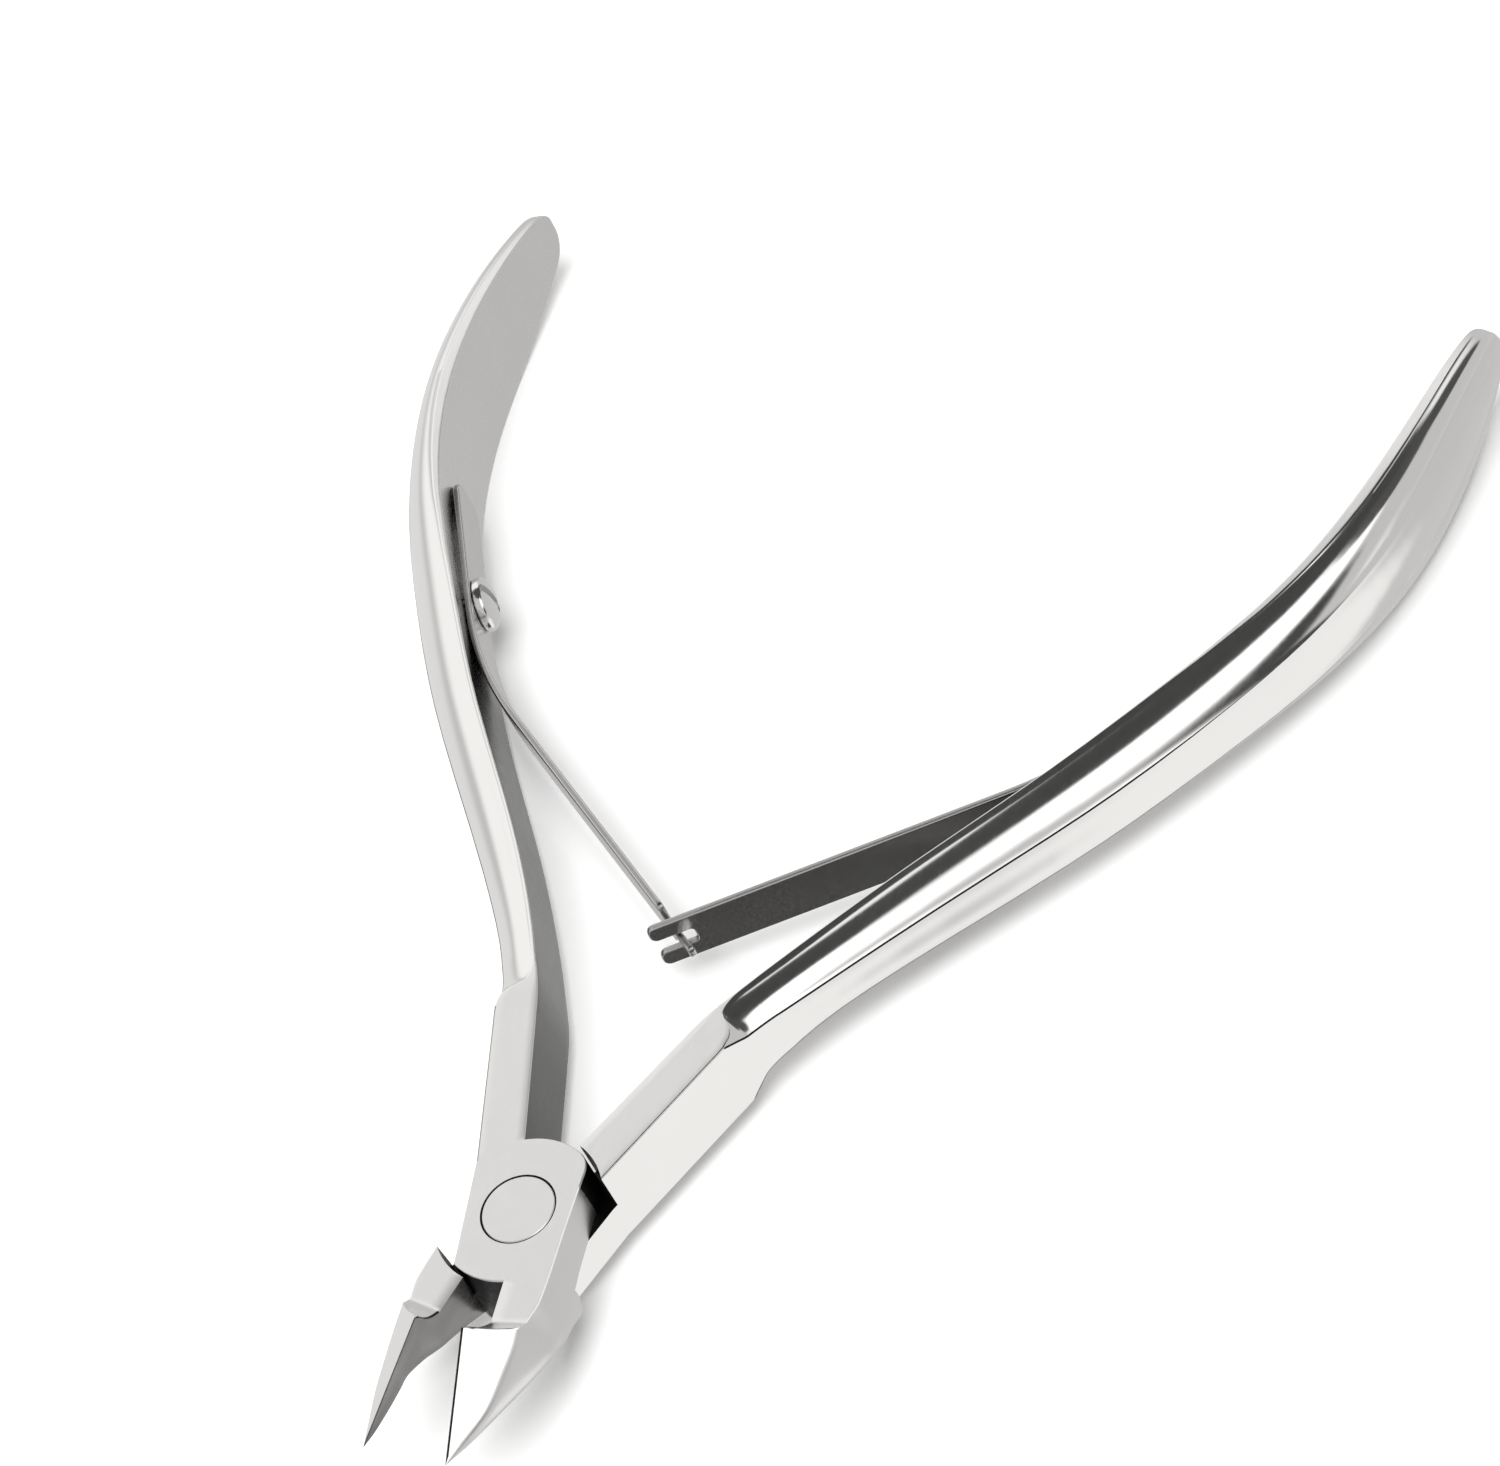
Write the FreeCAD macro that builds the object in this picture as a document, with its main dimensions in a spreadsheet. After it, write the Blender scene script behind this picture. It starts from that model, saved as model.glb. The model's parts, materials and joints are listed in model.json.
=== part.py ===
"""Lap-joint nippers: two forged steel halves on a flush rivet, held open by a pair of leaf springs.

Row frame: origin on the rivet's axis at the flat underside of the joint, +Z up along the rivet,
+Y from the jaws towards the handles, +X towards the lower half's handle. Millimetres.

Each half is drawn closed, with its cutting edge on the plane x = 0 and z = 0 on the plane where the
two joint plates meet, and is then placed in its rest pose, swung open about the rivet.
"""
import FreeCAD, Part
import Sketcher
import math
import os

from FreeCAD import Placement, Rotation, Vector

DIMENSIONS = {
    # joint
    "joint_half": 3.35,          # half the joint's thickness
    "opening_angle": 9.5,        # how far each half stands open at rest, degrees
    "cut_margin": 1.0,           # how far a cutter runs on past the steel it cuts
    "cut_width": 3.0,            # how far a waste block reaches beside the wall that it trims
    "lap_gap": 0.02,             # from the plane z = 0 to either plate
    "plate_radius": 6.05,        # round ends of a joint plate
    "recess_radius": 6.4,        # round walls that a plate turns between
    "plate_outer": 3.95,         # plate's flank on its handle's side
    "plate_inner": 4.2,          # plate's flank on its jaw's side
    "rivet_shank_radius": 2.0,
    "rivet_head_radius": 2.8,
    "rivet_head_depth": 1.2,
    "rivet_clearance": 0.05,
    # squared root of the handle
    "root_start": 4.6,
    "root_end": 17.5,
    "root_inner_slope": 0.208,
    "root_flank_start": 3.2,     # reach where the root's outer flank begins
    "root_outer_start": 4.35,
    "root_outer_end": 7.05,
    # jaw, as distances from the rivet towards the tip
    "edge_gap": 0.03,            # from the plane x = 0 to a cutting edge
    "throat_half": 0.62,         # half the slot between the closed jaws, above the edges
    "throat_foot": 1.7,
    "throat_end": 10.0,
    "heel_reach": 11.4,
    "heel_height": 6.15,
    "tip_reach": 20.4,
    "tip_height": 2.5,
    "bevel_slope": 0.836,        # fall of the bevel for each millimetre from the edge
    "bevel_width": 4.2,
    "top_start": 3.4,            # reach where the flat top of the jaw begins
    "lip_start": 9.4,
    "lip_radius": 5.0,
    "jaw_root": 4.9,
    "jaw_root_reach": 3.6,
    "jaw_shoulder": 4.9,
    "jaw_shoulder_reach": 7.6,
    "jaw_outer_radius": 30.0,
    "jaw_belly_start": 4.8,
    "jaw_belly_end": 20.9,
    "jaw_belly_radius": 40.0,
    "hollow_top": 3.85,          # height of the throat's widest line
    "hollow_start": 3.0,
    "hollow_slope": 0.16,        # rise of the hollow's foot towards the tip
    "hollow_mid_reach": 14.2,
    "hollow_mid_depth": 2.15,
    "hollow_end_reach": 17.4,
    "hollow_end_depth": 1.3,
    "hollow_tip_reach": 20.8,
    "hollow_tip_depth": 0.13,
    # leaf springs, measured off the handle's inner face at the screw
    "seat_reach": 56.0,          # screw, along the closed half
    "seat_inner": 21.75,
    "seat_angle": 21.5,          # lean of the handle's inner face there, degrees
    "leaf_thickness": 0.55,
    "leaf_half_width": 2.2,
    "leaf_stand_off": 0.15,
    "leaf_tail": 11.6,           # from the screw to the rounded end
    "leaf_tail_round": 1.2,
    "leaf_tip_round": 0.45,
    "leaf_bend_start": 1.5,
    "leaf_bend_radius": 30.0,
    "leaf_bend_angle": 23.2,
    "leaf_straight": 28.3,
    "leaf_hole_radius": 1.1,
    "notch_depth": 3.2,
    "notch_half_width": 0.7,
    "tongue_length": 3.6,
    "tongue_half_width": 0.52,
    # spring screws
    "screw_radius": 0.95,
    "screw_depth": 2.6,
    "screw_hole_depth": 2.8,
    "screw_head_radius": 2.15,
    "screw_head_start": 0.75,
    "screw_head_height": 1.25,
    "screw_head_crown": 0.2,
    "slot_half_width": 0.35,
    "slot_depth": 0.55,
}

# Sections of the closed handle beyond its squared root. Each is cut across Y at reach: where its inner
# face stands in X, its half height at that face and at the ridges of its outer face, its thickness in X,
# and how wide the flat strip beside the inner face is.
SECTION_FIELDS = ("reach", "inner", "half", "ridge", "thick", "strip")
HANDLE_SECTIONS = (
    (17.4, 3.66, 3.35, 3.05, 3.38, 3.02),
    (21.5, 4.92, 3.30, 2.00, 3.25, 1.90),
    (28.0, 7.60, 3.15, 1.65, 3.65, 0.70),
    (36.0, 11.62, 3.45, 1.80, 4.10, 0.50),
    (46.0, 17.12, 3.90, 1.90, 4.20, 0.40),
    (56.0, 21.75, 4.15, 1.95, 4.10, 0.50),
    (66.0, 25.68, 4.60, 2.15, 3.55, 0.80),
    (76.0, 27.25, 4.90, 2.25, 3.00, 1.05),
    (84.0, 26.95, 4.40, 2.20, 2.50, 1.05),
    (90.0, 26.22, 3.35, 1.65, 2.15, 0.95),
    (94.4, 25.68, 1.80, 0.95, 1.60, 0.80),
)

# Sections of the outer wall that narrows a jaw upwards, from its bulge to the bevel's outer edge.
WALL_FIELDS = ("reach", "bulge", "low", "brow", "high")
WALL_SECTIONS = (
    (3.0, 4.90, -1.0, 4.15, 3.4),
    (7.5, 4.90, -0.8, 4.00, 3.4),
    (9.8, 4.75, -0.4, 3.35, 3.96),
    (13.5, 3.55, 0.6, 2.80, 2.96),
    (16.1, 2.35, 1.2, 2.20, 2.40),
    (18.8, 1.10, 1.7, 1.05, 2.27),
    (20.8, 0.0, 2.0, -0.05, 2.38),
)

WALL_ALIAS = "wall_{}_{}"
SECTION_ALIAS = "section_{}_{}"


def fill_sheet(doc):
    """The spreadsheet that drives every size."""
    sheet = doc.addObject("Spreadsheet::Sheet", "dims")
    cells = dict(DIMENSIONS)
    for fields, sections, alias in (
        (SECTION_FIELDS, HANDLE_SECTIONS, SECTION_ALIAS), (WALL_FIELDS, WALL_SECTIONS, WALL_ALIAS),
    ):
        for number, section in enumerate(sections, 1):
            for field, value in zip(fields, section):
                cells[alias.format(number, field)] = value
    for row, (alias, value) in enumerate(cells.items(), 1):
        sheet.set("A%d" % row, alias)
        sheet.set("B%d" % row, str(value))
        sheet.setAlias("B%d" % row, alias)
    doc.recompute()


def new_body(doc, label):
    body = doc.addObject("PartDesign::Body", label)
    body.Label = label
    return body


def origin_plane(body, role):
    return next(plane for plane in body.Origin.OriginFeatures if plane.Role == role)


def new_sketch(body, role, name, offset=None):
    """A sketch on one of the body's origin planes. offset is how far along its normal, as an expression."""
    sketch = body.newObject("Sketcher::SketchObject", name)
    sketch.AttachmentSupport = [(origin_plane(body, role), "")]
    sketch.MapMode = "FlatFace"
    if offset:
        sketch.setExpression("AttachmentOffset.Base.z", offset)
    return sketch


def arc_between(start, end, radius):
    """The short arc from start to end; a positive radius bulges to the right of the way there."""
    chord = end - start
    middle = (start + end) * 0.5
    to_left = Vector(-chord.y, chord.x, 0).normalize()
    height = math.sqrt(radius ** 2 - (chord.Length / 2) ** 2)
    centre = middle + to_left * math.copysign(height, radius)
    angles = [math.atan2(p.y - centre.y, p.x - centre.x) for p in (start, end)]
    if radius < 0:
        angles.reverse()
    if angles[1] < angles[0]:
        angles[1] += 2 * math.pi
    return Part.ArcOfCircle(Part.Circle(centre, Vector(0, 0, 1), abs(radius)), *angles)


def outline(sketch, corners):
    """Closes an outline through corners, each (x, y) as expressions.

    A third value is the radius of the edge that leaves the corner, with its bulge side in the fourth.
    """
    points = [Vector(*(float(sketch.evalExpression(c)) for c in corner[:2]), 0) for corner in corners]
    ends = []
    for index, corner in enumerate(corners):
        start = points[index]
        end = points[(index + 1) % len(points)]
        if len(corner) > 2:
            radius = float(sketch.evalExpression(corner[2])) * corner[3]
            edge = sketch.addGeometry(arc_between(start, end, radius), False)
            sketch.setExpression("Constraints[%d]" % radius_constraint(sketch, edge, abs(radius)), corner[2])
            ends.append((edge, 1, 2) if radius > 0 else (edge, 2, 1))
        else:
            edge = sketch.addGeometry(Part.LineSegment(start, end), False)
            ends.append((edge, 1, 2))
    for index, corner in enumerate(corners):
        edge, first, _ = ends[index]
        before, _, last = ends[index - 1]
        sketch.addConstraint(Sketcher.Constraint("Coincident", before, last, edge, first))
        for kind, value, expression in zip(("DistanceX", "DistanceY"), points[index], corner[:2]):
            pin = sketch.addConstraint(Sketcher.Constraint(kind, -1, 1, edge, first, value))
            sketch.setExpression("Constraints[%d]" % pin, expression)


def radius_constraint(sketch, edge, value):
    return sketch.addConstraint(Sketcher.Constraint("Radius", edge, value))


def disc(sketch, radius, x="0", y="0"):
    """A circle of that radius, both it and its centre as expressions."""
    centre = Vector(float(sketch.evalExpression(x)), float(sketch.evalExpression(y)), 0)
    size = float(sketch.evalExpression(radius))
    edge = sketch.addGeometry(Part.Circle(centre, Vector(0, 0, 1), size), False)
    sketch.setExpression("Constraints[%d]" % radius_constraint(sketch, edge, size), radius)
    for kind, value, expression in (("DistanceX", centre.x, x), ("DistanceY", centre.y, y)):
        pin = sketch.addConstraint(Sketcher.Constraint(kind, -1, 1, edge, 3, value))
        sketch.setExpression("Constraints[%d]" % pin, expression)


def extrude(body, kind, sketch, length, midplane=False, backwards=False):
    """A Pad or Pocket of that length, as an expression."""
    feature = body.newObject("PartDesign::" + kind, sketch.Name + "_" + kind.lower())
    feature.Profile = sketch
    feature.Midplane = midplane
    feature.Reversed = backwards
    feature.setExpression("Length", length)
    return feature


def turn(body, kind, sketch, axis):
    """A full Revolution or Groove of sketch about one of its own axes."""
    feature = body.newObject("PartDesign::" + kind, sketch.Name + "_" + kind.lower())
    feature.Profile = sketch
    feature.ReferenceAxis = (sketch, [axis])
    feature.Angle = 360.0
    return feature


def place(body, side, x, y, lean):
    """Puts body in its rest pose. x, y and the lean towards its handle's side are in the closed half."""
    swing = "dims.opening_angle * 1 deg"
    body.Placement = Placement(Vector(), Rotation(Vector(0, 0, -side), 1))
    body.setExpression("Placement.Rotation.Angle", "(%s + dims.opening_angle) * 1 deg" % lean)
    across = "(%s) * cos(%s) + (%s) * sin(%s)" % (x, swing, y, swing)
    along = "(%s) * cos(%s) - (%s) * sin(%s)" % (y, swing, x, swing)
    body.setExpression("Placement.Base.x", "%d * (%s)" % (side, across))
    body.setExpression("Placement.Base.y", along)
    body.setExpression("Placement.Base.z", "dims.joint_half")


def joint_plate(body, side, upper):
    """The round-ended plate, on one side of the lap plane, with its two flanks cut flat."""
    ring = new_sketch(body, "XY_Plane", "plate", "dims.lap_gap" if upper else "-dims.joint_half")
    disc(ring, "dims.plate_radius")
    extrude(body, "Pad", ring, "dims.joint_half - dims.lap_gap")
    for name, flank, hand in (
        ("handle_flank", "dims.plate_outer", side), ("jaw_flank", "dims.plate_inner", -side),
    ):
        waste = new_sketch(body, "XY_Plane", name)
        outline(waste, (
            ("%d * %s" % (hand, flank), "-dims.recess_radius"),
            ("%d * 2 * dims.recess_radius" % hand, "-dims.recess_radius"),
            ("%d * 2 * dims.recess_radius" % hand, "dims.recess_radius"),
            ("%d * %s" % (hand, flank), "dims.recess_radius"),
        ))
        extrude(body, "Pocket", waste, "4 * dims.joint_half", midplane=True)


def handle_root(body, side):
    """The squared stretch of the handle, as thick as the whole joint."""
    root = new_sketch(body, "XY_Plane", "root")
    outline(root, (
        ("%d * dims.root_inner_slope * dims.root_start" % side, "dims.root_start"),
        ("%d * dims.root_inner_slope * dims.root_end" % side, "dims.root_end"),
        ("%d * dims.root_outer_end" % side, "dims.root_end"),
        ("%d * dims.root_outer_start" % side, "dims.root_flank_start"),
    ))
    extrude(body, "Pad", root, "2 * dims.joint_half", midplane=True)


def jaw_blank(body, side):
    """The jaw before it is ground: its plan, from the underside up to the heel of the cutting edge."""
    plan = new_sketch(body, "XY_Plane", "jaw_plan", "-dims.joint_half")
    outline(plan, (
        ("%d * dims.edge_gap" % -side, "-dims.root_start"),
        ("%d * dims.edge_gap" % -side, "-dims.tip_reach", "dims.jaw_outer_radius", -side),
        ("%d * dims.jaw_shoulder" % -side, "-dims.jaw_shoulder_reach"),
        ("%d * dims.jaw_root" % -side, "-dims.jaw_root_reach"),
    ))
    extrude(body, "Pad", plan, "dims.joint_half + dims.heel_height")


def jaw_profile(body, side):
    """Cuts the jaw's side view: the lip up to the heel, and the belly that rises to the tip."""
    top = new_sketch(body, "YZ_Plane", "lip")
    outline(top, (
        ("-dims.top_start", "dims.joint_half"),
        ("-dims.lip_start", "dims.joint_half", "dims.lip_radius", 1),
        ("-dims.heel_reach", "dims.heel_height"),
        ("-dims.heel_reach", "dims.heel_height + dims.cut_margin"),
        ("-dims.top_start", "dims.heel_height + dims.cut_margin"),
    ))
    extrude(body, "Pocket", top, "6 * dims.joint_half", midplane=True)
    belly = new_sketch(body, "YZ_Plane", "belly")
    outline(belly, (
        ("-dims.jaw_belly_start", "-dims.joint_half", "dims.jaw_belly_radius", 1),
        ("-dims.jaw_belly_end", "dims.tip_height"),
        ("-dims.jaw_belly_end", "-dims.joint_half - dims.cut_margin"),
        ("-dims.jaw_belly_start", "-dims.joint_half - dims.cut_margin"),
    ))
    extrude(body, "Pocket", belly, "6 * dims.joint_half", midplane=True)


def edge_height(reach):
    """Height of the cutting edge's line at that reach, as an expression."""
    fall = "(dims.heel_height - dims.tip_height) / (dims.tip_reach - dims.heel_reach)"
    return "(dims.heel_height - (%s - dims.heel_reach) * %s)" % (reach, fall)


def loft(body, kind, name, sections):
    """An AdditiveLoft or SubtractiveLoft through sections, each (reach expression, corners) across Y."""
    sketches = []
    for number, (reach, corners) in enumerate(sections, 1):
        sketch = new_sketch(body, "XZ_Plane", "%s_%d" % (name, number), reach)
        outline(sketch, corners)
        sketches.append(sketch)
    body.Document.recompute()
    feature = body.newObject("PartDesign::" + kind, name)
    feature.Profile = sketches[0]
    feature.Sections = sketches[1:]
    return feature


def jaw_bevel(body, side):
    """Grinds the outer bevel that falls away from the cutting edge."""
    sections = []
    for reach in ("(dims.lip_start - 2 * dims.cut_margin)", "(dims.tip_reach + 2 * dims.cut_margin)"):
        edge = edge_height(reach)
        inside = "%d * (dims.edge_gap - dims.cut_margin)" % -side
        outside = "%d * (dims.bevel_width + dims.cut_width)" % -side
        sections.append((reach, (
            (inside, "%s + dims.bevel_slope * dims.cut_margin" % edge),
            (outside, "%s - dims.bevel_slope * (dims.bevel_width + dims.cut_width)" % edge),
            (outside, "%s + 2 * dims.heel_height" % edge),
            (inside, "%s + 2 * dims.heel_height" % edge),
        )))
    loft(body, "SubtractiveLoft", "bevel", sections)


def jaw_hollow(body, side):
    """Hollows the inner side of the jaw, from the throat beside the joint to the tip."""
    inside = "%d * (dims.edge_gap - dims.cut_width)" % -side
    stations = (
        ("dims.top_start", "dims.hollow_top", "dims.throat_half", "dims.throat_foot"),
        ("dims.throat_end", "dims.hollow_top", "dims.throat_half", "dims.throat_foot"),
    )
    for place_name in ("mid", "end", "tip"):
        reach = "dims.hollow_%s_reach" % place_name
        stations += ((reach, edge_height(reach), "dims.edge_gap", "dims.hollow_%s_depth" % place_name),)
    sections = []
    for reach, top, crest, foot in stations:
        foot_height = "-dims.joint_half / 2 + (%s - dims.hollow_start) * dims.hollow_slope" % reach
        sections.append((reach, (
            (inside, top),
            ("%d * (%s)" % (-side, crest), top),
            ("%d * (%s)" % (-side, foot), foot_height),
            ("%d * (%s)" % (-side, foot), "-dims.joint_half - dims.cut_margin"),
            (inside, "-dims.joint_half - dims.cut_margin"),
        )))
    cut = loft(body, "SubtractiveLoft", "hollow", sections)
    cut.Ruled = True


def section_sizes(alias, fields, number):
    """The cells of one section, by field."""
    return {field: "dims." + alias.format(number, field) for field in fields}


def jaw_wall(body, side):
    """Leans the jaw's outer wall in from its bulge up to the bevel."""
    sections = []
    for number in range(1, len(WALL_SECTIONS) + 1):
        size = section_sizes(WALL_ALIAS, WALL_FIELDS, number)
        brow = "%d * %s" % (-side, size["brow"])
        outside = "%d * (%s + dims.cut_width)" % (-side, size["bulge"])
        sections.append((size["reach"], (
            ("%d * %s" % (-side, size["bulge"]), size["low"]),
            (brow, size["high"]),
            (brow, "dims.heel_height + 2 * dims.cut_margin"),
            (outside, "dims.heel_height + 2 * dims.cut_margin"),
            (outside, size["low"]),
        )))
    cut = loft(body, "SubtractiveLoft", "wall", sections)
    cut.Ruled = True


def handle_grip(body, side):
    """The handle beyond its root: a flat inner face, narrow strips and bevels up to a ridged outer face."""
    sections = []
    for number in range(1, len(HANDLE_SECTIONS) + 1):
        size = section_sizes(SECTION_ALIAS, SECTION_FIELDS, number)
        inner = "%d * %s" % (side, size["inner"])
        strip = "%d * (%s + %s)" % (side, size["inner"], size["strip"])
        outer = "%d * (%s + %s)" % (side, size["inner"], size["thick"])
        sections.append(("-" + size["reach"], (
            (inner, size["half"]),
            (strip, size["half"]),
            (outer, size["ridge"]),
            (outer, "-" + size["ridge"]),
            (strip, "-" + size["half"]),
            (inner, "-" + size["half"]),
        )))
    loft(body, "AdditiveLoft", "grip", sections)


def joint_recess(body, upper):
    """Clears the other half's plate out of the far side of the lap plane."""
    low = "-dims.joint_half - dims.cut_margin" if upper else "-dims.lap_gap"
    space = new_sketch(body, "XY_Plane", "recess", low)
    disc(space, "dims.recess_radius")
    beyond = "dims.cut_margin" if upper else "4 * dims.cut_margin"
    extrude(body, "Pocket", space, "dims.joint_half + dims.lap_gap + " + beyond, backwards=True)


def rivet_outline(sketch, clearance):
    """Half of the rivet's lengthwise section, with its two countersunk heads."""
    reach = "dims.joint_half"
    neck = "(dims.joint_half - dims.rivet_head_depth)"
    shank = "dims.rivet_shank_radius + %s" % clearance
    head = "dims.rivet_head_radius + %s" % clearance
    outline(sketch, (
        ("0", "-" + reach), (head, "-" + reach), (shank, "-" + neck),
        (shank, neck), (head, reach), ("0", reach),
    ))


def rivet_seat(body, upper):
    """The hole for the rivet: running on it in the upper half, tight on it in the lower one."""
    seat = new_sketch(body, "XZ_Plane", "rivet_seat")
    rivet_outline(seat, "dims.rivet_clearance" if upper else "0")
    turn(body, "Groove", seat, "V_Axis")


def screw_hole(body, side):
    """The blind hole for the spring's screw, square to the handle's inner face."""
    hole = new_sketch(body, "YZ_Plane", "screw_hole", "%d * dims.seat_inner" % side)
    hole.AttachmentOffset = Placement(Vector(), Rotation(Vector(0, 1, 0), 1))
    hole.setExpression("AttachmentOffset.Rotation.Angle", "%d * dims.seat_angle * 1 deg" % -side)
    hole.setExpression("AttachmentOffset.Base.x", "dims.seat_reach")
    disc(hole, "dims.screw_radius")
    extrude(body, "Pocket", hole, "2 * dims.screw_hole_depth", midplane=True)


def add_half(doc, name, side, upper):
    """One forged half. side is the side of its handle in X, and its jaw is on the other."""
    body = new_body(doc, name)
    joint_plate(body, side, upper)
    handle_root(body, side)
    jaw_blank(body, side)
    jaw_profile(body, side)
    jaw_wall(body, side)
    jaw_bevel(body, side)
    jaw_hollow(body, side)
    joint_recess(body, upper)
    handle_grip(body, side)
    rivet_seat(body, upper)
    screw_hole(body, side)
    place(body, side, "0", "0", "0")
    return body


def add_rivet(doc):
    body = new_body(doc, "pivot_rivet")
    section = new_sketch(body, "XZ_Plane", "rivet_section")
    rivet_outline(section, "0")
    turn(body, "Revolution", section, "V_Axis")
    body.setExpression("Placement.Base.z", "dims.joint_half")
    return body


def leaf_point(side, off, along):
    """A corner of a leaf, from its distance off the handle's face and along it towards the joint."""
    return "%d * (%s)" % (-side, off), "-(%s)" % along


LEAF_BEND = "dims.leaf_bend_angle * 1 deg"
LEAF_TIP = ("(dims.leaf_bend_start + (dims.leaf_bend_radius + dims.leaf_thickness) * sin(%s)"
            " + dims.leaf_straight * cos(%s))" % (LEAF_BEND, LEAF_BEND))


def leaf_side(side):
    """The leaf seen along Z: flat under the screw, bent off the handle, then straight to its tip."""
    near = "dims.leaf_stand_off"
    far = near + " + dims.leaf_thickness"
    centre = far + " + dims.leaf_bend_radius"
    radii = {near: "(dims.leaf_bend_radius + dims.leaf_thickness)", far: "dims.leaf_bend_radius"}
    bent = {
        face: (
            "%s - %s * cos(%s)" % (centre, radius, LEAF_BEND),
            "dims.leaf_bend_start + %s * sin(%s)" % (radius, LEAF_BEND),
        )
        for face, radius in radii.items()
    }
    tip = {
        face: (
            "%s + dims.leaf_straight * sin(%s)" % (off, LEAF_BEND),
            "%s + dims.leaf_straight * cos(%s)" % (along, LEAF_BEND),
        )
        for face, (off, along) in bent.items()
    }
    return (
        leaf_point(side, near, "-dims.leaf_tail"),
        leaf_point(side, near, "dims.leaf_bend_start") + (radii[near], -side),
        leaf_point(side, *bent[near]),
        leaf_point(side, *tip[near]),
        leaf_point(side, *tip[far]),
        leaf_point(side, *bent[far]) + (radii[far], side),
        leaf_point(side, far, "dims.leaf_bend_start"),
        leaf_point(side, far, "-dims.leaf_tail"),
    )


def end_cut(body, name, depth, low, high):
    """Cuts the tip of a leaf away between two heights, back to depth along the leaf."""
    waste = new_sketch(body, "YZ_Plane", name)
    root = "-(%s - %s * cos(%s))" % (LEAF_TIP, depth, LEAF_BEND)
    beyond = "-(%s + 2 * dims.cut_margin)" % LEAF_TIP
    outline(waste, ((root, low), (root, high), (beyond, high), (beyond, low)))
    extrude(body, "Pocket", waste, "4 * dims.leaf_straight", midplane=True)


AT_END = 0.5


def round_corners(body, radius, chosen):
    """Rounds the short edges through the leaf's thickness whose middle satisfies chosen."""
    body.Document.recompute()
    base = body.Tip
    thickness = float(body.evalExpression("dims.leaf_thickness"))
    names = [
        "Edge%d" % number
        for number, edge in enumerate(base.Shape.Edges, 1)
        if abs(edge.Length - thickness) < 0.01 and chosen(edge.CenterOfMass)
    ]
    fillet = body.newObject("PartDesign::Fillet", "rounded_%d" % len(body.Group))
    fillet.Base = (base, names)
    fillet.setExpression("Radius", radius)


def add_leaf(doc, name, side, forked):
    """One leaf spring, with the fork or the tongue that its tip meets the other leaf with."""
    body = new_body(doc, name)
    strip = new_sketch(body, "XY_Plane", "strip")
    outline(strip, leaf_side(side))
    extrude(body, "Pad", strip, "2 * dims.leaf_half_width", midplane=True)
    hole = new_sketch(body, "YZ_Plane", "hole")
    disc(hole, "dims.leaf_hole_radius")
    extrude(body, "Pocket", hole, "4 * dims.leaf_thickness", midplane=True)
    if forked:
        end_cut(body, "notch", "dims.notch_depth", "-dims.notch_half_width", "dims.notch_half_width")
    else:
        for cut, sign in (("above_tongue", 1), ("below_tongue", -1)):
            beside = "%d * dims.tongue_half_width" % sign
            beyond = "%d * (dims.leaf_half_width + dims.cut_margin)" % sign
            end_cut(body, cut, "dims.tongue_length", beside, beyond)
    tail = float(body.evalExpression("dims.leaf_tail"))
    tip = -float(body.evalExpression(LEAF_TIP))
    round_corners(body, "dims.leaf_tail_round", lambda middle: middle.y > tail - AT_END)
    round_corners(body, "dims.leaf_tip_round", lambda middle: middle.y < tip + AT_END)
    place(body, side, "dims.seat_inner", "dims.seat_reach", "dims.seat_angle")
    return body


def add_spring_screw(doc, name, side):
    """A domed, slotted screw through the leaf into the handle."""
    body = new_body(doc, name)
    section = new_sketch(body, "XY_Plane", "screw_section")
    top = "(dims.screw_head_start + dims.screw_head_height)"
    crown = "((dims.screw_head_radius ^ 2 + dims.screw_head_crown ^ 2) / (2 * dims.screw_head_crown))"
    outline(section, (
        ("%d * dims.screw_depth" % side, "0"),
        ("%d * dims.screw_depth" % side, "dims.screw_radius"),
        ("%d * dims.screw_head_start" % -side, "dims.screw_radius"),
        ("%d * dims.screw_head_start" % -side, "dims.screw_head_radius"),
        ("%d * (%s - dims.screw_head_crown)" % (-side, top), "dims.screw_head_radius", crown, -side),
        ("%d * %s" % (-side, top), "0"),
    ))
    turn(body, "Revolution", section, "H_Axis")
    slot = new_sketch(body, "XY_Plane", "slot")
    floor = "%d * (%s - dims.slot_depth)" % (-side, top)
    mouth = "%d * (%s + dims.cut_margin)" % (-side, top)
    outline(slot, (
        (floor, "-dims.slot_half_width"), (floor, "dims.slot_half_width"),
        (mouth, "dims.slot_half_width"), (mouth, "-dims.slot_half_width"),
    ))
    extrude(body, "Pocket", slot, "4 * dims.screw_head_radius", midplane=True)
    place(body, side, "dims.seat_inner", "dims.seat_reach", "dims.seat_angle")
    return body


def check(doc, bodies):
    """Stops if any object failed to build or any sub-part isn't one valid solid."""
    doc.recompute()
    for item in doc.Objects:
        if {"Invalid", "Error"} & set(item.State):
            raise RuntimeError("%s failed: %s" % (item.Name, item.State))
    for body in bodies:
        if body.Shape.isNull() or not body.Shape.isValid() or len(body.Shape.Solids) != 1:
            raise RuntimeError("%s isn't one valid solid" % body.Label)


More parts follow.
